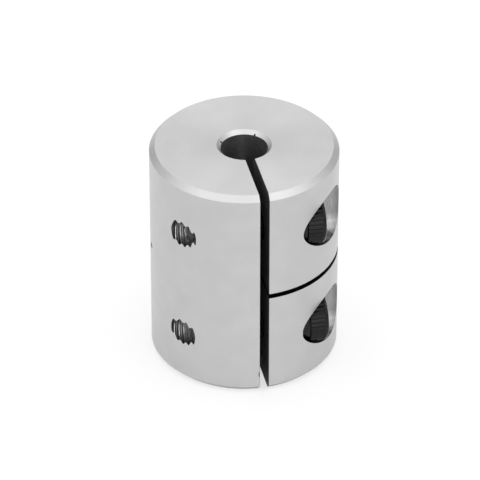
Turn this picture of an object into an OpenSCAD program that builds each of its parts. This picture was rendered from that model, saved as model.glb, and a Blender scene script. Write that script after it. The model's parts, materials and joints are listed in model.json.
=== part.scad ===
// Rigid shaft coupling, one-piece clamp type.
// The bore stands along +Z, the lower end face is at z = 0,
// the slit faces -Y and the screw heads face +X.

/* [Body] */
// Outer diameter of the body
body_d = 20; // [19:0.5:26]
// Length of the body along the bore
body_l = 25; // [23:0.5:36]
// Chamfer on the outer edge of both end faces
end_chamfer = 0.6; // [0.3:0.05:1]

/* [Shaft bore] */
// Diameter of the bore that takes both shafts
bore_d = 5; // [3:0.05:6.35]
// Chamfer at both mouths of the bore
bore_chamfer = 0.4; // [0.2:0.05:0.6]

/* [Clamp cuts] */
// Width of the slit along the whole body
slit_w = 0.95; // [0.5:0.05:1.5]
// Width of the cross slot between the two jaws on the screw head side
slot_w = 0.5; // [0.3:0.05:1]
// Distance of the cross slot's floor from the slit's middle plane
slot_floor_x = 0; // [0:0.05:0.25]
// Distance of the cross slot's middle under the body's mid length
slot_drop = 0.15; // [0:0.05:0.3]

/* [Screw places] */
// Wall between the counterbores and the body's outside, along the slit
rim_w = 1; // [0.7:0.05:1.3]
// Distance of each screw axis from its end face
screw_inset = 6.15; // [5.5:0.05:7]
// Distance of the lower screw head's seat from the slit's middle plane
lower_seat_x = 4.4; // [3.5:0.1:4.8]
// Distance of the upper screw head's seat from the slit's middle plane
upper_seat_x = 4; // [3.5:0.1:4.8]

/* [Screws] */
// Outer diameter of the screw thread
thread_d = 3; // [2.5:0.1:3.2]
// Pitch of the screw thread
thread_pitch = 0.5; // [0.4:0.05:0.6]
// Length of the screw under its head
screw_l = 10; // [8:0.5:11]
// Diameter of the screw head
head_d = 5.5; // [5:0.1:5.8]
// Height of the screw head
head_h = 3; // [2.5:0.1:3.5]
// Rounded edge at the top of the screw head
head_edge_r = 0.3; // [0.15:0.05:0.5]
// Hexagon socket in the screw head, across flats
socket_af = 2.5; // [2:0.1:2.6]
// Depth of the hexagon socket
socket_depth = 1.5; // [0.8:0.1:1.8]
// Chamfer at the screw's tip
tip_chamfer = 0.3; // [0.15:0.05:0.5]

/* [Clearances] */
// Radial room round the screw head in its counterbore
head_clearance = 0.3; // [0.1:0.05:0.5]
// Radial room round the thread in the plain hole under the head
shank_clearance = 0.2; // [0.1:0.05:0.4]
// Radial room between the screw and the tapped wall
thread_clearance = 0.05; // [0.02:0.01:0.1]

/* [Hidden] */

// Reach of a cut past the surface that it opens
cut_margin = 1;
// A metric thread's mean diameter lies this many pitches under its outer one
mean_d_pitches = 0.6495;
// Sides of a hexagon
hex_sides = 6;
// Segments round the body, and round a screw and its holes
body_fn = 180;
screw_fn = 96;

body_r = body_d / 2;
bore_r = bore_d / 2;
head_r = head_d / 2;
// The screw and its tapped hole are plain at the thread's mean diameter
screw_r = (thread_d - mean_d_pitches * thread_pitch) / 2;
tapped_r = screw_r + thread_clearance;
plain_hole_r = thread_d / 2 + shank_clearance;
counterbore_r = head_r + head_clearance;
// Distance of the screw axes from the bore axis
screw_offset = body_r - rim_w - counterbore_r;
socket_r = socket_af / 2 / cos(180 / hex_sides);
// Lower screw first, then the upper one
screw_heights = [screw_inset, body_l - screw_inset];
seats_x = [lower_seat_x, upper_seat_x];

// Turned blank: a ring with chamfered end faces and bore mouths
module turned_blank() {
    rotate_extrude($fn = body_fn)
        polygon([
            [bore_r + bore_chamfer, 0],
            [body_r - end_chamfer, 0],
            [body_r, end_chamfer],
            [body_r, body_l - end_chamfer],
            [body_r - end_chamfer, body_l],
            [bore_r + bore_chamfer, body_l],
            [bore_r, body_l - bore_chamfer],
            [bore_r, bore_chamfer]
        ]);
}

// Slit from the bore out through the wall on the -Y side
module slit_cut() {
    translate([-slit_w / 2, -body_r - cut_margin, -cut_margin])
        cube([slit_w, body_r + cut_margin, body_l + 2 * cut_margin]);
}

// Cross slot through the +X half near mid length, between the two jaws
module slot_cut() {
    translate([slot_floor_x, -body_r - cut_margin, (body_l - slot_w) / 2 - slot_drop])
        cube([body_r + cut_margin, body_d + 2 * cut_margin, slot_w]);
}

// Hole for one screw along X: counterbored and plain on +X, tapped on -X
module screw_hole(seat_x) {
    translate([seat_x, 0, 0])
        rotate([0, 90, 0])
            cylinder(r = counterbore_r, h = body_r, $fn = screw_fn);
    rotate([0, 90, 0])
        cylinder(r = plain_hole_r, h = seat_x + cut_margin, $fn = screw_fn);
    rotate([0, -90, 0])
        cylinder(r = tapped_r, h = body_r + cut_margin, $fn = screw_fn);
}

// Places its child on one screw axis, at the slit's middle plane
module on_screw_axis(place) {
    translate([0, -screw_offset, screw_heights[place]])
        children();
}

// Socket head cap screw along +Z with the underside of its head at z = 0
module cap_screw() {
    difference() {
        rotate_extrude($fn = screw_fn) {
            polygon([
                [0, -screw_l],
                [screw_r - tip_chamfer, -screw_l],
                [screw_r, tip_chamfer - screw_l],
                [screw_r, 0],
                [head_r, 0],
                [head_r, head_h - head_edge_r],
                [head_r - head_edge_r, head_h - head_edge_r],
                [head_r - head_edge_r, head_h],
                [0, head_h]
            ]);
            translate([head_r - head_edge_r, head_h - head_edge_r])
                intersection() {
                    circle(r = head_edge_r, $fn = screw_fn);
                    square(head_edge_r);
                }
        }
        translate([0, 0, head_h - socket_depth])
            cylinder(r = socket_r, h = socket_depth + cut_margin, $fn = hex_sides);
    }
}

// Body: one turned piece, slit, slotted and drilled for the screws
module coupling_body() {
    color("#c6c6c6")
        difference() {
            turned_blank();
            slit_cut();
            slot_cut();
            for (place = [0 : len(screw_heights) - 1])
                on_screw_axis(place)
                    screw_hole(seats_x[place]);
        }
}

// Two screws that draw the jaws together, heads seated in the counterbores
module clamp_screws() {
    color("#303030")
        for (place = [0 : len(screw_heights) - 1])
            on_screw_axis(place)
                translate([seats_x[place], 0, 0])
                    rotate([0, 90, 0])
                        cap_screw();
}

coupling_body();
clamp_screws();
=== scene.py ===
"""Rigid shaft coupling: turned body, threaded cap screws, studio and camera.

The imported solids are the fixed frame. The body and the screws are made again as
fine surfaces of the same size, with real threads, knurls and finishes.
"""

from __future__ import annotations

import json
import logging
import math
from dataclasses import dataclass
from enum import IntEnum

import bmesh
import bpy
import numpy as np
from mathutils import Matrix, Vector

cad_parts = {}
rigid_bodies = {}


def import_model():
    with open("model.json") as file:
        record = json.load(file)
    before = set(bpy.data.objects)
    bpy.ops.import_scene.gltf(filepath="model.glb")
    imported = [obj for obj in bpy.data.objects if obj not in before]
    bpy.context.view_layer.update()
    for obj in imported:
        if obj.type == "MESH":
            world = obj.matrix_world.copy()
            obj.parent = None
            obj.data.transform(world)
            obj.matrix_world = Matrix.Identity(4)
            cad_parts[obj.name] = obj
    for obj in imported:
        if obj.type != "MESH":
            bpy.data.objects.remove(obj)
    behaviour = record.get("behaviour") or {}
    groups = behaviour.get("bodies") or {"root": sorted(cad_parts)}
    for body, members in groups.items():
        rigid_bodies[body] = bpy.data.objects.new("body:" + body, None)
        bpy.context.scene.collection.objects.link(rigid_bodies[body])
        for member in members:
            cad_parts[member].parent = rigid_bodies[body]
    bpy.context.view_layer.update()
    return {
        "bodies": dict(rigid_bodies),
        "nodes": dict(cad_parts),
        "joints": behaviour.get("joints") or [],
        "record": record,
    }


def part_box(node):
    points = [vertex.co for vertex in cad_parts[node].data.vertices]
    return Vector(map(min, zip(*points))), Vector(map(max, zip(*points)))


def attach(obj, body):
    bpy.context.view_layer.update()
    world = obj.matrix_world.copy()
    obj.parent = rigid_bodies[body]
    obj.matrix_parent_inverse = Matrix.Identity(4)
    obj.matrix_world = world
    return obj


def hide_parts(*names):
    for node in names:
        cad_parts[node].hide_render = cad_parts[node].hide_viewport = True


LOG = logging.getLogger("coupling")
MM = 0.001
FULL_TURN = 2 * math.pi
QUARTER_TURN = 0.25
# Points that lie closer together than this, in metres, are one
WELD = 1e-6
SHARP_ANGLE = math.radians(28)
UP = (0, 0, 1)
LEVEL = (1, 1, 0)
WHITE = (1, 1, 1, 1)
# Sockets of a Mix node for colours, whose names are shared by other kinds
MIX_FIRST, MIX_SECOND, MIX_RESULT = 6, 7, 2
BODY_NODE = "coupling_body"
SCREW_NODE = "clamp_screws"
CARRIER = "root"
# Where the screws' threads start, in turns, as the grooves in their tapped holes show
LOWER_THREAD_TURN = 0.66
UPPER_THREAD_TURN = 0.19
# The screws were tightened by hand, so their sockets don't line up
LOWER_SOCKET_DEG = 0
UPPER_SOCKET_DEG = 20


class BodyFace(IntEnum):
    """Kinds of machined face on the body, in the order of its materials."""

    TURNED = 0
    BORED = 1
    SAWN = 2
    TAPPED = 3
    REAMED = 4
    BROKEN = 5
    DRILLED = 6
    CHAMFERED = 7
    SLOTTED = 8


def linear(colour: str) -> tuple[float, float, float, float]:
    """Turns an sRGB hex colour into a linear one.

    The curve is the standard's: a straight start, then a power of 2.4.

    Args:
        colour: six hex digits after a hash sign.

    Returns:
        Red, green, blue and an alpha of 1.
    """
    share = np.array([int(colour[i : i + 2], 16) for i in (1, 3, 5)]) / 255
    value = np.where(share <= 0.04045, share / 12.92, ((share + 0.055) / 1.055) ** 2.4)
    return (*(float(v) for v in value), 1.0)


def add_node(
    tree: bpy.types.NodeTree, kind: str, inputs: dict | None = None, **settings: object
) -> bpy.types.Node:
    """Adds a node, sets it up and links it.

    Args:
        tree: the node tree that gets the node.
        kind: the node's type.
        inputs: socket name or number to a value or to another node's output.
        settings: the node's own properties.

    Returns:
        The new node.
    """
    node = tree.nodes.new(kind)
    for name, value in settings.items():
        setattr(node, name, value)
    for socket, value in (inputs or {}).items():
        if isinstance(value, bpy.types.NodeSocket):
            tree.links.new(value, node.inputs[socket])
        else:
            node.inputs[socket].default_value = value
    return node


def new_material(
    name: str,
) -> tuple[bpy.types.Material, bpy.types.NodeTree, bpy.types.NodeSocket]:
    """Starts a material.

    Args:
        name: the real material's name.

    Returns:
        The new material, its node tree and the place in Object coordinates.
    """
    material = bpy.data.materials.new(name)
    material.use_nodes = True
    tree = material.node_tree
    tree.nodes.clear()
    return material, tree, add_node(tree, "ShaderNodeTexCoord").outputs["Object"]


def from_axis(tree: bpy.types.NodeTree, place: bpy.types.NodeSocket) -> bpy.types.NodeSocket:
    """Measures how far a place lies from the body's axis.

    The distance is the length of the place's level part.

    Args:
        tree: the node tree that measures it.
        place: the place in Object coordinates.

    Returns:
        The socket that gives the distance in metres.
    """
    flat = add_node(
        tree, "ShaderNodeVectorMath", {0: place, 1: LEVEL}, operation="MULTIPLY"
    )
    length = add_node(
        tree, "ShaderNodeVectorMath", {0: flat.outputs[0]}, operation="LENGTH"
    )
    return length.outputs["Value"]


def spaced(corners: list[tuple[float, float]], step: float) -> np.ndarray:
    """Fills an outline with points, keeping its corners.

    Each side is divided evenly into the fewest parts that are no longer than
    the step.

    Args:
        corners: the outline's corners in order.
        step: the longest distance between two points.

    Returns:
        An array of points, one row each.
    """
    outline = np.array(corners, float)
    lengths = np.linalg.norm(np.diff(outline, axis=0), axis=1)
    parts = np.maximum(1, np.ceil(lengths / step)).astype(int)
    starts = [np.arange(n) / n + i for i, n in enumerate(parts)]
    along = np.concatenate([*starts, [len(parts)]])
    places = np.arange(len(outline))
    return np.stack([np.interp(along, places, axis) for axis in outline.T], axis=-1)


def turned(profile: np.ndarray, columns: int) -> np.ndarray:
    """Carries a profile of radius and height once round the Z axis.

    A point is (radius cos a, radius sin a, height) at the angle a.

    Args:
        profile: radius and height, one row for each point.
        columns: steps round the turn.

    Returns:
        A grid of points whose first and last columns coincide.
    """
    angle = np.linspace(0, FULL_TURN, columns + 1)
    radius, height = profile[:, :1], profile[:, 1:]
    flat = np.zeros_like(angle)
    return np.stack(
        [radius * np.cos(angle), radius * np.sin(angle), height + flat], axis=-1
    )


def laid_along_x(grid: np.ndarray) -> np.ndarray:
    """Lays a shape from the Z axis down along the X axis, without mirroring it."""
    return grid[..., [2, 0, 1]]


def round_x(along: np.ndarray, radius: np.ndarray, angle: np.ndarray) -> np.ndarray:
    """Places points round the X axis.

    A point is (along, radius cos a, radius sin a) at the angle a.

    Args:
        along: places along the axis.
        radius: distances from the axis.
        angle: angles round the axis, in radians.

    Returns:
        The points, with a last axis of three.
    """
    return np.stack([along, radius * np.cos(angle), radius * np.sin(angle)], axis=-1)


def capped(rings: np.ndarray) -> np.ndarray:
    """Closes a tube of rings with a pole at the middle of each end ring.

    Args:
        rings: a grid of points, one ring to a row, each closed on itself.

    Returns:
        The grid with a row of poles before and after it.
    """
    poles = [
        np.broadcast_to(ring[:-1].mean(axis=0), ring.shape)[None]
        for ring in (rings[0], rings[-1])
    ]
    return np.concatenate([poles[0], rings, poles[1]])


def closed_mesh(
    name: str, *grids: np.ndarray, face: int | np.ndarray | list[np.ndarray] = 0
) -> bpy.types.Mesh:
    """Turns grids of points into one mesh of closed shells.

    Each cell of a grid is a quad. Points that coincide, such as a seam's two
    sides or a pole's row, are merged, and the faces are turned outwards.

    Args:
        name: the mesh's name.
        grids: arrays of rows by columns by three.
        face: the material number of every face, or of each row of cells, or a
            list with the numbers of each grid's rows.

    Returns:
        The new mesh.
    """
    shell = bmesh.new()
    for grid, number in zip(grids, face if isinstance(face, list) else [face] * len(grids)):
        rows, columns = grid.shape[:2]
        index = np.arange(rows * columns).reshape(rows, columns)
        cells = [index[:-1, :-1], index[:-1, 1:], index[1:, 1:], index[1:, :-1]]
        part = bpy.data.meshes.new(name)
        quads = np.stack(cells, axis=-1).reshape(-1, 4)
        part.from_pydata(grid.reshape(-1, 3).tolist(), [], quads.tolist())
        numbers = np.broadcast_to(np.reshape(number, (-1, 1)), (rows - 1, columns - 1))
        part.polygons.foreach_set("material_index", numbers.ravel().astype(np.int32))
        shell.from_mesh(part)
        bpy.data.meshes.remove(part)
    bmesh.ops.remove_doubles(shell, verts=shell.verts, dist=WELD)
    bmesh.ops.recalc_face_normals(shell, faces=shell.faces)
    mesh = bpy.data.meshes.new(name)
    shell.to_mesh(mesh)
    shell.free()
    return mesh


def block(
    name: str, plan: list[tuple[float, float]], ends: tuple[float, float], face: int
) -> bpy.types.Mesh:
    """Raises a plan from one height to another.

    Args:
        name: the mesh's name.
        plan: the outline seen from above, with its first corner again at the end.
        ends: the lower and the upper height.
        face: the material number of every face.

    Returns:
        A closed block.
    """
    rings = [np.insert(np.array(plan), 2, height, axis=1) for height in ends]
    return closed_mesh(name, capped(np.stack(rings)), face=face)


def new_object(name: str, mesh: bpy.types.Mesh) -> bpy.types.Object:
    """Puts a mesh into the scene as an object at the origin.

    Args:
        name: the object's name.
        mesh: its mesh, with its place in it.

    Returns:
        The new object.
    """
    thing = bpy.data.objects.new(name, mesh)
    bpy.context.scene.collection.objects.link(thing)
    return thing


def cut(thing: bpy.types.Object, tool_mesh: bpy.types.Mesh) -> None:
    """Takes a tool's shape out of an object, as a machinist would.

    The cut faces take the tool's material number.

    Args:
        thing: the object that is cut.
        tool_mesh: a closed mesh, which is used up.
    """
    tool = new_object(tool_mesh.name, tool_mesh)
    modifier = thing.modifiers.new(tool_mesh.name, "BOOLEAN")
    modifier.operation = "DIFFERENCE"
    modifier.solver = "EXACT"
    modifier.material_mode = "INDEX"
    modifier.object = tool
    graph = bpy.context.evaluated_depsgraph_get()
    result = bpy.data.meshes.new_from_object(thing.evaluated_get(graph))
    before = thing.data
    thing.modifiers.clear()
    thing.data = result
    bpy.data.meshes.remove(before)
    bpy.data.objects.remove(tool)
    bpy.data.meshes.remove(tool_mesh)


def weld(mesh: bpy.types.Mesh) -> None:
    """Merges the points of a mesh that cuts have left almost together.

    Args:
        mesh: the mesh that is cleaned.
    """
    shell = bmesh.new()
    shell.from_mesh(mesh)
    bmesh.ops.remove_doubles(shell, verts=shell.verts, dist=WELD)
    shell.to_mesh(mesh)
    shell.free()


def smooth(mesh: bpy.types.Mesh) -> None:
    """Shades a mesh smoothly, with its machined edges left sharp."""
    mesh.shade_smooth()
    mesh.set_sharp_from_angle(angle=SHARP_ANGLE)


@dataclass(frozen=True)
class TurnedAluminium:
    """Bare aluminium off the lathe: pale grey, satin, faintly clouded and ringed."""

    name: str = "turned aluminium"
    pale: str = "#cccccc"
    dark: str = "#c0c0c0"
    fan: float = 0.8
    dull_share: float = 0.2
    dull_to_mm: float = 3.2
    bright_from_mm: float = 6.4
    cloud_mm: float = 2.5
    cloud_detail: float = 4.0
    smoothest: float = 0.33
    roughest: float = 0.43
    feed_mm: float = 0.30
    feed_detail: float = 3.0
    groove_mm: float = 0.0016
    slope: float = 1.7

    def build(self) -> bpy.types.Material:
        """Makes the material.

        The rings follow radius plus a multiple of height, so that they run
        round the end faces, the chamfers and the outside alike. The real feed
        is near 0.1 mm, and it is drawn coarser so that it shows. Finer rings
        draw the gloss out across themselves, which gives an end face its fans
        of light. Towards the bore, where the tool cut slowly, the metal is
        duller. Handling has left faint clouds of two greys.

        Returns:
            The new material.
        """
        material, tree, place = new_material(self.name)
        clouds = add_node(
            tree,
            "ShaderNodeTexNoise",
            {"Vector": place, "Scale": 1 / (self.cloud_mm * MM), "Detail": self.cloud_detail},
        )
        radius = from_axis(tree, place)
        outwards = add_node(
            tree,
            "ShaderNodeMapRange",
            {
                "Value": radius,
                "From Min": self.dull_to_mm * MM,
                "From Max": self.bright_from_mm * MM,
                "To Min": self.dull_share,
            },
        )
        paleness = add_node(
            tree,
            "ShaderNodeMath",
            {0: clouds.outputs[0], 1: outwards.outputs[0]},
            operation="MULTIPLY",
        )
        tone = add_node(
            tree,
            "ShaderNodeMix",
            {0: paleness.outputs[0], MIX_FIRST: linear(self.dark), MIX_SECOND: linear(self.pale)},
            data_type="RGBA",
        )
        height = add_node(tree, "ShaderNodeSeparateXYZ", {0: place}).outputs["Z"]
        along = add_node(
            tree, "ShaderNodeMath", {0: height, 1: self.slope, 2: radius}, operation="MULTIPLY_ADD"
        )
        rings = add_node(
            tree,
            "ShaderNodeTexNoise",
            {"W": along.outputs[0], "Scale": 1 / (self.feed_mm * MM), "Detail": self.feed_detail},
            noise_dimensions="1D",
        )
        rough = add_node(
            tree,
            "ShaderNodeMapRange",
            {"Value": rings.outputs[0], "To Min": self.smoothest, "To Max": self.roughest},
        )
        bump = add_node(
            tree, "ShaderNodeBump", {"Height": rings.outputs[0], "Distance": self.groove_mm * MM}
        )
        round_axis = add_node(
            tree, "ShaderNodeVectorMath", {0: UP, 1: place}, operation="CROSS_PRODUCT"
        )
        shader = add_node(
            tree,
            "ShaderNodeBsdfPrincipled",
            {
                "Base Color": tone.outputs[MIX_RESULT],
                "Metallic": 1.0,
                "Roughness": rough.outputs[0],
                "Normal": bump.outputs[0],
                "Anisotropic": self.fan,
                "Anisotropic Rotation": QUARTER_TURN,
                "Tangent": round_axis.outputs[0],
            },
        )
        add_node(tree, "ShaderNodeOutputMaterial", {0: shader.outputs[0]})
        return material


@dataclass(frozen=True)
class CutAluminium:
    """Aluminium from a drill, saw or tap: streaks of two greys, with fine scoring.

    The scores run along the axes whose stretch is small. They are drawn coarser
    than real ones, so that they show.
    """

    name: str
    pale: str
    dark: str
    smoothest: float
    roughest: float
    stretch: tuple[float, float, float]
    score_mm: float = 0.16
    depth_mm: float = 0.002
    score_detail: float = 2.0
    dark_below: float = 0.35
    pale_above: float = 0.65
    # A darker colour painted near the body's outside as painted shade at a hole's mouth, and where
    # it starts and is whole
    painted_mouth_shade: str | None = None
    unshaded_to_mm: float = 9.0
    full_shade_from_mm: float = 9.9

    def with_mouth_shade(
        self,
        tree: bpy.types.NodeTree,
        place: bpy.types.NodeSocket,
        tone: bpy.types.NodeSocket,
    ) -> bpy.types.NodeSocket:
        """Darkens a tone near the body's outside, as painted shade at a hole's mouth.

        The painted shade's share rises evenly with the distance from the body's axis.

        Args:
            tree: the material's node tree.
            place: the place in Object coordinates.
            tone: the metal's colour without the painted shade.

        Returns:
            The socket that gives the colour with its painted shade.
        """
        share = add_node(
            tree,
            "ShaderNodeMapRange",
            {
                "Value": from_axis(tree, place),
                "From Min": self.unshaded_to_mm * MM,
                "From Max": self.full_shade_from_mm * MM,
            },
        )
        with_mouth_shade = add_node(
            tree,
            "ShaderNodeMix",
            {0: share.outputs[0], MIX_FIRST: tone, MIX_SECOND: linear(self.painted_mouth_shade)},
            data_type="RGBA",
        )
        return with_mouth_shade.outputs[MIX_RESULT]

    def build(self) -> bpy.types.Material:
        """Makes the material from noise that is stretched along the cut.

        Returns:
            The new material.
        """
        material, tree, place = new_material(self.name)
        along = add_node(
            tree, "ShaderNodeMapping", {"Vector": place, "Scale": self.stretch}
        )
        scores = add_node(
            tree,
            "ShaderNodeTexNoise",
            {
                "Vector": along.outputs[0],
                "Scale": 1 / (self.score_mm * MM),
                "Detail": self.score_detail,
            },
        )
        streak = add_node(
            tree,
            "ShaderNodeMapRange",
            {"Value": scores.outputs[0], "From Min": self.dark_below, "From Max": self.pale_above},
        )
        streaks = add_node(
            tree,
            "ShaderNodeMix",
            {0: streak.outputs[0], MIX_FIRST: linear(self.dark), MIX_SECOND: linear(self.pale)},
            data_type="RGBA",
        )
        tone = streaks.outputs[MIX_RESULT]
        # Painted shade at a hole's mouth
        if self.painted_mouth_shade:
            tone = self.with_mouth_shade(tree, place, tone)
        rough = add_node(
            tree,
            "ShaderNodeMapRange",
            {"Value": scores.outputs[0], "To Min": self.smoothest, "To Max": self.roughest},
        )
        bump = add_node(
            tree, "ShaderNodeBump", {"Height": scores.outputs[0], "Distance": self.depth_mm * MM}
        )
        shader = add_node(
            tree,
            "ShaderNodeBsdfPrincipled",
            {
                "Base Color": tone,
                "Metallic": 1.0,
                "Roughness": rough.outputs[0],
                "Normal": bump.outputs[0],
            },
        )
        add_node(tree, "ShaderNodeOutputMaterial", {0: shader.outputs[0]})
        return material


@dataclass(frozen=True)
class BlackOxideSteel:
    """Black oxide on hardened steel: near black, with a soft oily gloss."""

    name: str = "black oxide steel"
    colour: str = "#272728"
    smoothest: float = 0.20
    roughest: float = 0.36
    blotch_mm: float = 0.6
    blotch_detail: float = 3.0
    metallic: float = 0.85

    def build(self) -> bpy.types.Material:
        """Makes the material, with gloss that changes in small blotches.

        Returns:
            The new material.
        """
        material, tree, place = new_material(self.name)
        blotches = add_node(
            tree,
            "ShaderNodeTexNoise",
            {"Vector": place, "Scale": 1 / (self.blotch_mm * MM), "Detail": self.blotch_detail},
        )
        rough = add_node(
            tree,
            "ShaderNodeMapRange",
            {"Value": blotches.outputs[0], "To Min": self.smoothest, "To Max": self.roughest},
        )
        shader = add_node(
            tree,
            "ShaderNodeBsdfPrincipled",
            {
                "Base Color": linear(self.colour),
                "Metallic": self.metallic,
                "Roughness": rough.outputs[0],
            },
        )
        add_node(tree, "ShaderNodeOutputMaterial", {0: shader.outputs[0]})
        return material


@dataclass(frozen=True)
class MetricThread:
    """A right-hand metric thread along +X, with its sizes in metres."""

    diameter: float
    depth: float
    pitch: float = 0.5 * MM
    turn: float = 0.0
    crest_share: float = 0.125
    root_share: float = 0.8

    def corners(self) -> np.ndarray:
        """Finds the places within one pitch where the profile turns.

        Returns:
            Parts of a pitch from 0 up to 1, counted from the crest's middle,
            with the middle of each flank among them.
        """
        crest, root = self.crest_share / 2, self.root_share / 2
        half = [0.0, crest, (crest + root) / 2, root, 0.5]
        return np.array([*half, *(1 - part for part in half[-2:0:-1])])

    def root_rows(self) -> np.ndarray:
        """Numbers the row of cells within one pitch that lies on the root's first half."""
        return np.flatnonzero(np.isclose(self.corners(), self.root_share / 2))

    def radius(self, along: np.ndarray, angle: np.ndarray) -> np.ndarray:
        """Gives the thread's radius at places along and round its axis.

        Within one pitch the profile is a trapezium: a flat crest, two straight
        flanks and a flat root. The crest lies where the place along the axis,
        in pitches, plus the thread's own turn equals the angle in turns.

        Args:
            along: places along the axis.
            angle: angles round the axis, in radians.

        Returns:
            The radii at these places.
        """
        turns = along / self.pitch + self.turn - angle / FULL_TURN
        off_crest = 2 * np.abs(turns - np.round(turns))
        rise = (self.root_share - off_crest) / (self.root_share - self.crest_share)
        return self.diameter / 2 - self.depth * (1 - np.clip(rise, 0, 1))

    def grid(self, start: float, end: float, columns: int) -> tuple[np.ndarray, np.ndarray]:
        """Lays a grid whose rows follow the helix.

        A row lies at a fixed part of the pitch and climbs one pitch in a turn,
        so its end meets the start of a later row. Rows that run past either end
        are held at that end.

        Args:
            start: the lower end along the axis.
            end: the upper end along the axis.
            columns: steps round the turn.

        Returns:
            The places along the axis and the angles, as two grids.
        """
        angle = np.linspace(0, FULL_TURN, columns + 1)
        first = math.floor(start / self.pitch + self.turn) - 1
        last = math.ceil(end / self.pitch + self.turn) + 1
        turns = (np.arange(first, last)[:, None] + self.corners()).ravel() - self.turn
        along = self.pitch * (turns[:, None] + angle / FULL_TURN)
        return np.clip(along, start, end), np.broadcast_to(angle, along.shape)

    def rod(self, start: float, end: float, columns: int) -> np.ndarray:
        """Makes a closed threaded rod along the X axis with square ends.

        Args:
            start: the lower end along the axis.
            end: the upper end along the axis.
            columns: steps round the turn.

        Returns:
            A grid of points, capped at both ends.
        """
        along, angle = self.grid(start, end, columns)
        return capped(round_x(along, self.radius(along, angle), angle))


@dataclass(frozen=True)
class ScrewPlace:
    """Where one screw sits, as its solid gives it, in metres."""

    name: str
    axis_y: float
    axis_z: float
    tip_x: float
    end_x: float
    head_radius: float
    thread_turn: float
    socket_turn: float
    head_height: float = 3.0 * MM

    @property
    def seat_x(self) -> float:
        """Plane under the head, which rests on the body."""
        return self.end_x - self.head_height

    @classmethod
    def from_points(
        cls, name: str, points: np.ndarray, thread_turn: float, socket_turn: float
    ) -> ScrewPlace:
        """Reads a screw's place from the corners of its solid.

        Args:
            name: the screw's name.
            points: the solid's corner points.
            thread_turn: where its thread starts, in turns.
            socket_turn: how far its socket is turned, in radians.

        Returns:
            The screw's place.
        """
        low, high = points.min(axis=0), points.max(axis=0)
        return cls(
            name=name,
            axis_y=(low[1] + high[1]) / 2,
            axis_z=(low[2] + high[2]) / 2,
            tip_x=low[0],
            end_x=high[0],
            head_radius=(high[1] - low[1]) / 2,
            thread_turn=thread_turn,
            socket_turn=socket_turn,
        )


@dataclass(frozen=True)
class Nick:
    """A small blow that marked the body, with its half sizes along the radius, across it and up."""

    angle_deg: float
    out_mm: float
    height_mm: float
    half_sizes_mm: tuple[float, float, float]
    face: BodyFace
    columns: int = 24

    def tool(self) -> bpy.types.Mesh:
        """Makes the blow's shape, half a circle turned round and stretched.

        Returns:
            A closed ellipsoid.
        """
        bend = np.linspace(0, math.pi, self.columns // 2 + 1)
        ball = turned(np.stack([np.sin(bend), np.cos(bend)], axis=-1), self.columns)
        turn = math.radians(self.angle_deg)
        ahead = np.array([math.cos(turn), math.sin(turn), 0])
        across = np.array([-math.sin(turn), math.cos(turn), 0])
        up = np.array(UP)
        frame = np.stack([ahead, across, up]) * np.array(self.half_sizes_mm)[:, None]
        blow = ball @ frame + ahead * self.out_mm + up * self.height_mm
        return closed_mesh("nick", blow * MM, face=self.face)


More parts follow.
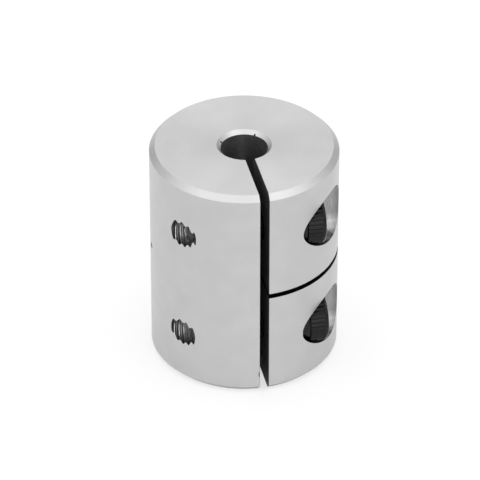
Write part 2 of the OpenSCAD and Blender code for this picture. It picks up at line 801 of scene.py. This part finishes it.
@dataclass
class CouplingBody:
    """The one-piece body, made by turning, slitting, drilling and tapping."""

    radius: float
    length: float
    bore_radius: float
    screws: tuple[ScrewPlace, ...]
    end_chamfer: float = 0.6 * MM
    bore_chamfer: float = 0.4 * MM
    slit_width: float = 0.95 * MM
    slot_width: float = 0.5 * MM
    slot_drop: float = 0.15 * MM
    slot_dressing: float = 0.07 * MM
    head_room: float = 0.3 * MM
    plain_radius: float = 1.7 * MM
    tap_diameter: float = 3.06 * MM
    tap_depth: float = 0.28 * MM
    edge_break: float = 0.045 * MM
    reach: float = 1.0 * MM
    columns: int = 240
    hole_columns: int = 96
    grid_step: float = 0.75 * MM
    # A dent in the outside, a nick at the slit's foot and two nicks at the bore's upper mouth, in
    # dark finishes as painted shade
    nicks: tuple[Nick, ...] = (
        Nick(178.1, 10.00, 13.38, (0.12, 0.45, 0.30), BodyFace.BROKEN),
        Nick(267.0, 10.00, 2.25, (0.10, 0.10, 0.35), BodyFace.SLOTTED),
        Nick(52.0, 2.55, 24.62, (0.14, 0.10, 0.22), BodyFace.SLOTTED),
        Nick(147.0, 2.60, 24.60, (0.12, 0.14, 0.20), BodyFace.SLOTTED),
    )

    def blank(self) -> bpy.types.Mesh:
        """Turns the ring with its chamfered ends and bore mouths.

        An outline of radius and height is carried round the Z axis. A stretch
        that changes both is a chamfer, and one that keeps the bore's radius was
        reamed.

        Returns:
            The closed ring.
        """
        outer, inner = self.radius, self.bore_radius
        top, edge, mouth = self.length, self.end_chamfer, self.bore_chamfer
        outline = [
            (inner + mouth, 0),
            (outer - edge, 0),
            (outer, edge),
            (outer, top - edge),
            (outer - edge, top),
            (inner + mouth, top),
            (inner, top - mouth),
            (inner, mouth),
            (inner + mouth, 0),
        ]
        profile = spaced(outline, self.grid_step)
        slanted = (np.abs(np.diff(profile, axis=0)) > WELD).all(axis=1)
        reamed = np.isclose(profile[:-1, 0], inner) & ~slanted
        faces = np.select(
            [slanted, reamed], [BodyFace.CHAMFERED, BodyFace.REAMED], BodyFace.TURNED
        )
        return closed_mesh("turned_blank", turned(profile, self.columns), face=faces)

    def slit_tool(self) -> bpy.types.Mesh:
        """Makes the saw's path along the whole body, from the bore out to -Y.

        Returns:
            A closed block.
        """
        half, out = self.slit_width / 2, -self.radius - self.reach
        plan = [(-half, out), (half, out), (half, 0), (-half, 0), (-half, out)]
        ends = (-self.reach, self.length + self.reach)
        return block("slit_saw", plan, ends, BodyFace.SAWN)

    def slot_tool(self) -> bpy.types.Mesh:
        """Makes the saw's path across the +X half near mid length.

        The path reaches a little lower where the slot's lower edge is dressed.

        Returns:
            A closed block.
        """
        out = self.radius + self.reach
        plan = [(0, -out), (out, -out), (out, out), (0, out), (0, -out)]
        half, middle = self.slot_width / 2, self.length / 2 - self.slot_drop
        ends = (middle - half - self.slot_dressing, middle + half)
        return block("slot_saw", plan, ends, BodyFace.SLOTTED)

    def hole_tool(self) -> bpy.types.Mesh:
        """Makes the drill and counterbore of both screws.

        Each is a stepped profile turned about the screw's axis.

        Returns:
            Two closed shapes in one mesh.
        """
        end = self.radius + self.reach
        drills = []
        for screw in self.screws:
            wide, seat = screw.head_radius + self.head_room, screw.seat_x
            steps = [(self.plain_radius, 0), (self.plain_radius, seat), (wide, seat), (wide, end)]
            drill = capped(laid_along_x(turned(np.array(steps), self.hole_columns)))
            drills.append(drill + (0, screw.axis_y, screw.axis_z))
        return closed_mesh("counterbores", *drills, face=BodyFace.BORED)

    def tap_tool(self) -> bpy.types.Mesh:
        """Makes the taps of both screws, a little larger than their threads.

        Between its grooves the tapped hole keeps a strip of the drill's bright
        wall. The rows of a rod follow its thread, after one row at its pole.

        Returns:
            Two closed threaded rods in one mesh.
        """
        rods, faces = [], []
        for screw in self.screws:
            tap = MetricThread(self.tap_diameter, self.tap_depth, turn=screw.thread_turn)
            rod = tap.rod(-self.radius - self.reach, 0, self.hole_columns)
            rods.append(rod + (0, screw.axis_y, screw.axis_z))
            row = np.arange(len(rod) - 1) - 1
            on_root = np.isin(row % len(tap.corners()), tap.root_rows())
            faces.append(np.where(on_root, BodyFace.DRILLED, BodyFace.TAPPED))
        return closed_mesh("taps", *rods, face=faces)

    def slit_edge_tool(self) -> bpy.types.Mesh:
        """Makes a V groove that breaks the slit's sharp edges.

        A trapezium that flares at 45 degrees is carried along the body's
        outline in the slit's plane. At a corner it follows the mitre, the sum of
        both sides' normals over one plus their dot product. Its flanks cross the
        slit's walls at the depth of the broken edge, and its floor lies within
        the slit.

        Returns:
            A closed groove cutter.
        """
        outer, top, edge = self.radius, self.length, self.end_chamfer
        path = np.array(
            [
                (0, top),
                (edge - outer, top),
                (-outer, top - edge),
                (-outer, edge),
                (edge - outer, 0),
                (0, 0),
            ]
        )
        sides = np.diff(path, axis=0)
        normals = np.stack([sides[:, 1], -sides[:, 0]], axis=-1)
        normals /= np.linalg.norm(normals, axis=1, keepdims=True)
        before = np.vstack([normals[:1], normals])
        after = np.vstack([normals, normals[-1:]])
        mitres = (before + after) / (1 + (before * after).sum(axis=1, keepdims=True))
        half, deep, high = self.slit_width / 2, self.edge_break, self.reach
        floor_half = half / 2
        floor = floor_half - half - deep
        profile = [
            (-floor_half, floor),
            (floor_half, floor),
            (half + deep + high, high),
            (-half - deep - high, high),
            (-floor_half, floor),
        ]
        across, out = np.array(profile).T
        place = path[:, None] + mitres[:, None] * out[:, None]
        wide = np.broadcast_to(across, place.shape[:2])
        rings = np.stack([wide, place[..., 0], place[..., 1]], axis=-1)
        return closed_mesh("slit_edges", capped(rings), face=BodyFace.BROKEN)

    def build(self) -> bpy.types.Object:
        """Turns, saws, drills and taps the body, and gives it its finishes.

        Returns:
            The finished body.
        """
        body = new_object("turned_coupling_body", self.blank())
        finishes = self.finishes()
        for face in BodyFace:
            body.data.materials.append(finishes[face].build())
        tools = (
            *(nick.tool for nick in self.nicks),
            self.slit_edge_tool,
            self.slit_tool,
            self.slot_tool,
            self.hole_tool,
            self.tap_tool,
        )
        for tool in tools:
            cut(body, tool())
        weld(body.data)
        smooth(body.data)
        return body

    @staticmethod
    def finishes() -> dict[BodyFace, TurnedAluminium | CutAluminium]:
        """Lists the finish of each kind of face.

        Returns:
            The finishes by kind of face.
        """
        return {
            BodyFace.TURNED: TurnedAluminium(),
            # Counterbores off an end mill: a bright wall that mirrors the head, darkened at its rim
            # by painted shade
            BodyFace.BORED: CutAluminium(
                name="bored aluminium",
                pale="#9e9e9e",
                dark="#8e8e8e",
                smoothest=0.12,
                roughest=0.20,
                score_mm=0.12,
                stretch=(1, 0.15, 0.15),
                depth_mm=0.001,
                painted_mouth_shade="#747474",
                unshaded_to_mm=9.3,
                full_shade_from_mm=10.1,
            ),
            # The slit's walls off a saw: dull grey and scored along the body, and darker still as
            # painted shade of the narrow slit
            BodyFace.SAWN: CutAluminium(
                name="sawn aluminium",
                pale="#8c8c8c",
                dark="#7c7c7c",
                smoothest=0.40,
                roughest=0.55,
                stretch=(1, 1, 0.2),
            ),
            # The flanks off a tap: torn streaks, and the first grooves darkened by painted shade
            BodyFace.TAPPED: CutAluminium(
                name="tapped aluminium",
                pale="#dcdcdc",
                dark="#828282",
                smoothest=0.34,
                roughest=0.50,
                score_mm=0.08,
                stretch=(1, 0.15, 0.15),
                depth_mm=0.003,
                painted_mouth_shade="#3c3c3c",
            ),
            # The bore off a reamer: an even, matt grey, darkened as painted shade of the deep bore
            BodyFace.REAMED: CutAluminium(
                name="reamed aluminium",
                pale="#969696",
                dark="#8c8c8c",
                smoothest=0.45,
                roughest=0.60,
                stretch=(0.3, 0.3, 1),
            ),
            # Edges broken by a file, and the dent: dark grey as painted shade, so that the slit's
            # line and the dent's mark stay dark, with a tight gloss
            BodyFace.BROKEN: CutAluminium(
                name="broken edge aluminium",
                pale="#686868",
                dark="#5c5c5c",
                smoothest=0.18,
                roughest=0.28,
                score_mm=0.10,
                stretch=(1, 1, 0.3),
                depth_mm=0.001,
            ),
            # What a tap leaves of the drilled wall: thin lines between the grooves, smoother than
            # the flanks and paler as a painted highlight
            BodyFace.DRILLED: CutAluminium(
                name="drilled aluminium",
                pale="#f4f4f4",
                dark="#e8e8e8",
                smoothest=0.18,
                roughest=0.30,
                score_mm=0.10,
                stretch=(1, 0.3, 0.3),
                depth_mm=0.001,
            ),
            # Chamfers off the lathe: as pale as the faces beside them, without their fans of light
            BodyFace.CHAMFERED: TurnedAluminium(
                name="chamfered aluminium",
                pale="#c7c7c7",
                dark="#bbbbbb",
                fan=0.0,
                dull_share=1.0,
            ),
            # The cross slot off a thin saw, and small nicks: dark grey as painted shade, so that
            # the line stays black
            BodyFace.SLOTTED: CutAluminium(
                name="slotted aluminium",
                pale="#5c5c5c",
                dark="#505050",
                smoothest=0.28,
                roughest=0.38,
                stretch=(0.2, 0.2, 1),
            ),
        }


@dataclass
class CapScrew:
    """A knurled socket head cap screw along +X, seated by its head."""

    place: ScrewPlace
    thread_diameter: float = 2.96 * MM
    thread_depth: float = 0.307 * MM
    tip_chamfer: float = 0.35 * MM
    neck_length: float = 0.6 * MM
    foot_chamfer: float = 0.12 * MM
    collar_height: float = 0.92 * MM
    collar_inset: float = 0.2 * MM
    knurl_depth: float = 0.14 * MM
    knurl_slope: float = 0.12 * MM
    flutes: int = 36
    flute_columns: int = 4
    head_edge: float = 0.3 * MM
    edge_steps: int = 6
    socket_flats: float = 2.5 * MM
    socket_depth: float = 1.5 * MM
    socket_chamfer: float = 0.12 * MM
    socket_point: float = 0.3 * MM

    @property
    def columns(self) -> int:
        """Steps round the screw."""
        return self.flutes * self.flute_columns

    def shank(self) -> np.ndarray:
        """Makes the threaded shank, from its chamfered tip to its plain neck.

        The radius is the thread's, limited by the tip's 45 degree cone, and it
        blends smoothly into the plain neck under the head.

        Returns:
            A grid of places along the axis, radii and angles.
        """
        tip, seat = self.place.tip_x, self.place.seat_x
        thread = MetricThread(
            self.thread_diameter, self.thread_depth, turn=self.place.thread_turn
        )
        along, angle = thread.grid(tip, seat, self.columns)
        point = thread.diameter / 2 - self.tip_chamfer
        radius = np.minimum(thread.radius(along, angle), point + along - tip)
        neck = thread.diameter / 2 - thread.depth / 2
        near = np.clip(1 + (along - seat) / self.neck_length, 0, 1)
        near = near * near * (3 - 2 * near)
        return np.stack([along, radius + (neck - radius) * near, angle], axis=-1)

    def head(self) -> np.ndarray:
        """Makes the head, from its underside over its knurl into its socket.

        Rows run along the outline. The knurl's flutes are triangles round the
        head. Inside the socket the radius is that of a hexagon: half its width
        across flats over the cosine of the angle from the nearest flat.

        Returns:
            A grid of places along the axis, radii and angles.
        """
        angle = np.linspace(0, FULL_TURN, self.columns + 1)
        flute = np.arange(self.columns + 1) % self.flute_columns
        half = self.flute_columns / 2
        groove = self.knurl_depth * (1 - np.abs(flute - half) / half)
        sixth = FULL_TURN / 6
        off_flat = (angle - self.place.socket_turn + sixth / 2) % sixth - sixth / 2
        hexagon = self.socket_flats / 2 / np.cos(off_flat)
        even = np.ones_like(angle)
        high, rim = self.place.head_height, self.place.head_radius
        foot, edge, collar = self.foot_chamfer, self.head_edge, self.collar_height
        band, slope = rim - self.collar_inset, self.knurl_slope
        floor = high - self.socket_depth
        bend = np.linspace(0, FULL_TURN / 4, self.edge_steps)
        rounding = zip(
            high - edge + edge * np.sin(bend),
            (even * out for out in rim - edge + edge * np.cos(bend)),
        )
        rows = [
            (0.0, even * (band - foot)),
            (foot, even * band),
            (collar, even * band),
            (collar + slope, rim - groove),
            (high - edge - slope, rim - groove),
            *rounding,
            (high, hexagon + self.socket_chamfer),
            (high - self.socket_chamfer, hexagon),
            (floor, hexagon),
            (floor - self.socket_point, 0 * even),
        ]
        along = self.place.seat_x + np.array([row[0] for row in rows])[:, None] * even
        radius = np.stack([row[1] for row in rows])
        return np.stack([along, radius, np.broadcast_to(angle, along.shape)], axis=-1)

    def build(self, finish: bpy.types.Material) -> bpy.types.Object:
        """Makes the screw as one closed shell at its place.

        The shell's rows run from a pole at the tip to one in the socket.

        Args:
            finish: the material of the whole screw.

        Returns:
            The finished screw.
        """
        shank = self.shank()
        tip = shank[:1] * (1, 0, 1)
        rows = np.concatenate([tip, shank, self.head()])
        grid = round_x(*np.moveaxis(rows, -1, 0))
        grid = grid + (0, self.place.axis_y, self.place.axis_z)
        name = self.place.name
        screw = new_object(name, closed_mesh(name, grid))
        screw.data.materials.append(finish)
        smooth(screw.data)
        return screw


@dataclass(frozen=True)
class PhotoCamera:
    """The photograph's camera, as its outlines give it."""

    azimuth_deg: float = -12.37
    elevation_deg: float = 35.18
    distance_mm: float = 428.5
    focal_px: float = 4020.3
    image_px: float = 480.0
    sensor_mm: float = 36.0
    aim_right_mm: float = -0.442
    aim_height_mm: float = 12.743
    nearest_mm: float = 10.0

    def build(self) -> bpy.types.Object:
        """Makes the camera and hands it to the scene.

        Returns:
            The camera.
        """
        turn, rise = math.radians(self.azimuth_deg), math.radians(self.elevation_deg)
        right = Vector((math.cos(turn), math.sin(turn), 0))
        level = Vector((math.sin(turn), -math.cos(turn), 0))
        back = level * math.cos(rise) + Vector((0, 0, math.sin(rise)))
        aim = right * self.aim_right_mm * MM + Vector((0, 0, self.aim_height_mm * MM))
        lens = bpy.data.cameras.new("photo_camera")
        lens.sensor_width = self.sensor_mm
        lens.lens = self.focal_px * self.sensor_mm / self.image_px
        lens.clip_start = self.nearest_mm * MM
        camera = bpy.data.objects.new("photo_camera", lens)
        camera.location = aim + back * self.distance_mm * MM
        camera.rotation_mode = "QUATERNION"
        camera.rotation_quaternion = (-back).to_track_quat("-Z", "Y")
        bpy.context.scene.collection.objects.link(camera)
        bpy.context.scene.camera = camera
        return camera


@dataclass(frozen=True)
class Studio:
    """A pale floor and three soft boxes in a room with a pale front wall."""

    foot_radius: float
    floor_half: float = 1.5
    floor_colour: str = "#f2f2f2"
    floor_roughness: float = 0.9
    floor_glow: float = 0.65
    # The room's light at the horizon, overhead and from the front wall
    horizon: float = 0.34
    zenith: float = 1.8
    front_wall: float = 1.0
    # How far a direction leans to -Y where that wall starts and where it is whole
    front_from: float = 0.6
    front_to: float = 0.9
    patch_share: float = 0.25
    patch_lean_deg: float = 10.0
    patch_inner_deg: float = 7.0
    patch_outer_deg: float = 16.0
    shade_back: float = 4.0 * MM
    shade_fade: float = 3.0 * MM
    lamp_size: float = 0.3
    # How bright each soft box is, and where it hangs in metres
    lamps_hung: tuple[tuple[float, tuple[float, float, float]], ...] = (
        (0.3, (-0.375, -0.15, 0.45)),
        (0.08, (0.0, -0.40, 0.40)),
        (0.5, (0.28, -0.29, 0.45)),
    )

    def floor(self) -> bpy.types.Object:
        """Lays the floor, a flat square of paper that the object stands on.

        Returns:
            The floor.
        """
        span = np.array([-self.floor_half, self.floor_half])
        grid = np.stack([*np.meshgrid(span, span), np.zeros((2, 2))], axis=-1)
        floor = new_object("studio_floor", closed_mesh("studio_floor", grid))
        floor.data.materials.append(self.paper())
        return floor

    def paper(self) -> bpy.types.Material:
        """Makes the floor's matt paper, which is white and has almost no gloss.

        Eyes and mirrors see part of it as plain white, so that the sheet stays
        white and the shadow on it is faint. Under the object and close behind
        it mirrors see only the sheet, with its soft shadow.

        Returns:
            The new material.
        """
        material, tree, place = new_material("matt paper")
        material.cycles.emission_sampling = "NONE"
        sheet = add_node(
            tree,
            "ShaderNodeBsdfPrincipled",
            {"Base Color": linear(self.floor_colour), "Roughness": self.floor_roughness},
        )
        white = add_node(tree, "ShaderNodeEmission", {"Color": WHITE, "Strength": 1.0})
        ray = add_node(tree, "ShaderNodeLightPath").outputs
        shade = self.foot_radius + self.shade_back
        away = add_node(
            tree,
            "ShaderNodeVectorMath",
            {0: place, 1: (0, self.shade_back, 0)},
            operation="DISTANCE",
        )
        clear = add_node(
            tree,
            "ShaderNodeMapRange",
            {
                "Value": away.outputs["Value"],
                "From Min": shade,
                "From Max": shade + self.shade_fade,
            },
            interpolation_type="SMOOTHSTEP",
        )
        mirrored = add_node(
            tree,
            "ShaderNodeMath",
            {0: ray["Is Glossy Ray"], 1: ray["Is Transmission Ray"]},
            operation="MAXIMUM",
        )
        mirrored_clear = add_node(
            tree,
            "ShaderNodeMath",
            {0: mirrored.outputs[0], 1: clear.outputs[0]},
            operation="MULTIPLY",
        )
        seen = add_node(
            tree,
            "ShaderNodeMath",
            {0: ray["Is Camera Ray"], 1: mirrored_clear.outputs[0]},
            operation="MAXIMUM",
        )
        share = add_node(
            tree, "ShaderNodeMath", {0: seen.outputs[0], 1: self.floor_glow}, operation="MULTIPLY"
        )
        both = add_node(
            tree,
            "ShaderNodeMixShader",
            {0: share.outputs[0], 1: sheet.outputs[0], 2: white.outputs[0]},
        )
        add_node(tree, "ShaderNodeOutputMaterial", {0: both.outputs[0]})
        return material

    def room(self) -> bpy.types.World:
        """Lights the room, brighter evenly from the walls up to the ceiling.

        The wall towards -Y is paler than the others, and a round patch of the
        ceiling, a little behind the object, is dark.

        Returns:
            The world.
        """
        world = bpy.data.worlds.new("studio_room")
        world.use_nodes = True
        tree = world.node_tree
        tree.nodes.clear()
        place = add_node(tree, "ShaderNodeTexCoord").outputs["Generated"]
        ways = add_node(tree, "ShaderNodeSeparateXYZ", {0: place}).outputs
        level = add_node(
            tree,
            "ShaderNodeMapRange",
            {"Value": ways["Z"], "To Min": self.horizon, "To Max": self.zenith},
        )
        front = add_node(
            tree,
            "ShaderNodeMapRange",
            {
                "Value": ways["Y"],
                "From Min": -self.front_to,
                "From Max": -self.front_from,
                "To Min": self.front_wall,
                "To Max": 0.0,
            },
        )
        walls = add_node(
            tree, "ShaderNodeMath", {0: level.outputs[0], 1: front.outputs[0]}, operation="MAXIMUM"
        )
        lean = math.radians(self.patch_lean_deg)
        middle = (0.0, math.sin(lean), math.cos(lean))
        near = add_node(
            tree, "ShaderNodeVectorMath", {0: place, 1: middle}, operation="DOT_PRODUCT"
        )
        inner, outer = (
            math.cos(math.radians(a)) for a in (self.patch_inner_deg, self.patch_outer_deg)
        )
        dark = add_node(
            tree,
            "ShaderNodeMapRange",
            {
                "Value": near.outputs["Value"],
                "From Min": outer,
                "From Max": inner,
                "To Min": 1.0,
                "To Max": self.patch_share,
            },
        )
        strength = add_node(
            tree, "ShaderNodeMath", {0: walls.outputs[0], 1: dark.outputs[0]}, operation="MULTIPLY"
        )
        light = add_node(
            tree, "ShaderNodeBackground", {"Color": WHITE, "Strength": strength.outputs[0]}
        )
        add_node(tree, "ShaderNodeOutputWorld", {0: light.outputs[0]})
        bpy.context.scene.world = world
        return world

    def lamps(self, aim: Vector) -> list[bpy.types.Object]:
        """Hangs the square soft boxes, above the object and in front of it.

        Args:
            aim: the point that they face.

        Returns:
            The lamps.
        """
        hung = []
        for radiance, place in self.lamps_hung:
            light = bpy.data.lights.new("soft_box", "AREA")
            light.size = self.lamp_size
            light.energy = radiance * math.pi * self.lamp_size**2
            lamp = bpy.data.objects.new("soft_box", light)
            lamp.location = place
            lamp.rotation_mode = "QUATERNION"
            lamp.rotation_quaternion = (aim - lamp.location).to_track_quat("-Z", "Y")
            bpy.context.scene.collection.objects.link(lamp)
            hung.append(lamp)
        return hung


def screw_places(node: bpy.types.Object, middle: float) -> tuple[ScrewPlace, ...]:
    """Reads both screws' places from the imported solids.

    Args:
        node: the solids' mesh object.
        middle: the height that parts the two screws.

    Returns:
        The lower screw's place and the upper one's.
    """
    points = np.empty(3 * len(node.data.vertices))
    node.data.vertices.foreach_get("co", points)
    points = points.reshape(-1, 3)
    above = points[:, 2] > middle
    turns = [math.radians(angle) for angle in (LOWER_SOCKET_DEG, UPPER_SOCKET_DEG)]
    return (
        ScrewPlace.from_points("lower_cap_screw", points[~above], LOWER_THREAD_TURN, turns[0]),
        ScrewPlace.from_points("upper_cap_screw", points[above], UPPER_THREAD_TURN, turns[1]),
    )


def dress(piece: bpy.types.Object, node: str) -> None:
    """Ties a new piece to the frame and reports it.

    Args:
        piece: the new piece.
        node: the solid that it replaces.
    """
    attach(piece, CARRIER)
    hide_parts(node)
    LOG.info("%s: %d faces", piece.name, len(piece.data.polygons))


def main() -> None:
    """Builds the body, the screws, the studio and the camera around the frame."""
    logging.basicConfig(level=logging.INFO, format="%(name)s: %(message)s")
    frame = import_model()
    bpy.context.scene.view_settings.view_transform = "Standard"
    camera = PhotoCamera().build()
    LOG.info("camera at %s", [round(x, 4) for x in camera.location])
    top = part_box(BODY_NODE)[1]
    screws = screw_places(frame["nodes"][SCREW_NODE], top.z / 2)
    mounts = {mount["name"]: mount for mount in frame["record"]["mounts"]}
    bore_radius = mounts["shaft_bore"]["dims"]["r_mm"] * MM
    body = CouplingBody(top.x, top.z, bore_radius, screws)
    dress(body.build(), BODY_NODE)
    oxide = BlackOxideSteel().build()
    for place in screws:
        dress(CapScrew(place).build(oxide), SCREW_NODE)
    studio = Studio(top.x)
    studio.floor()
    studio.room()
    studio.lamps(Vector((0, 0, top.z / 2)))


if __name__ == "__main__":
    main()
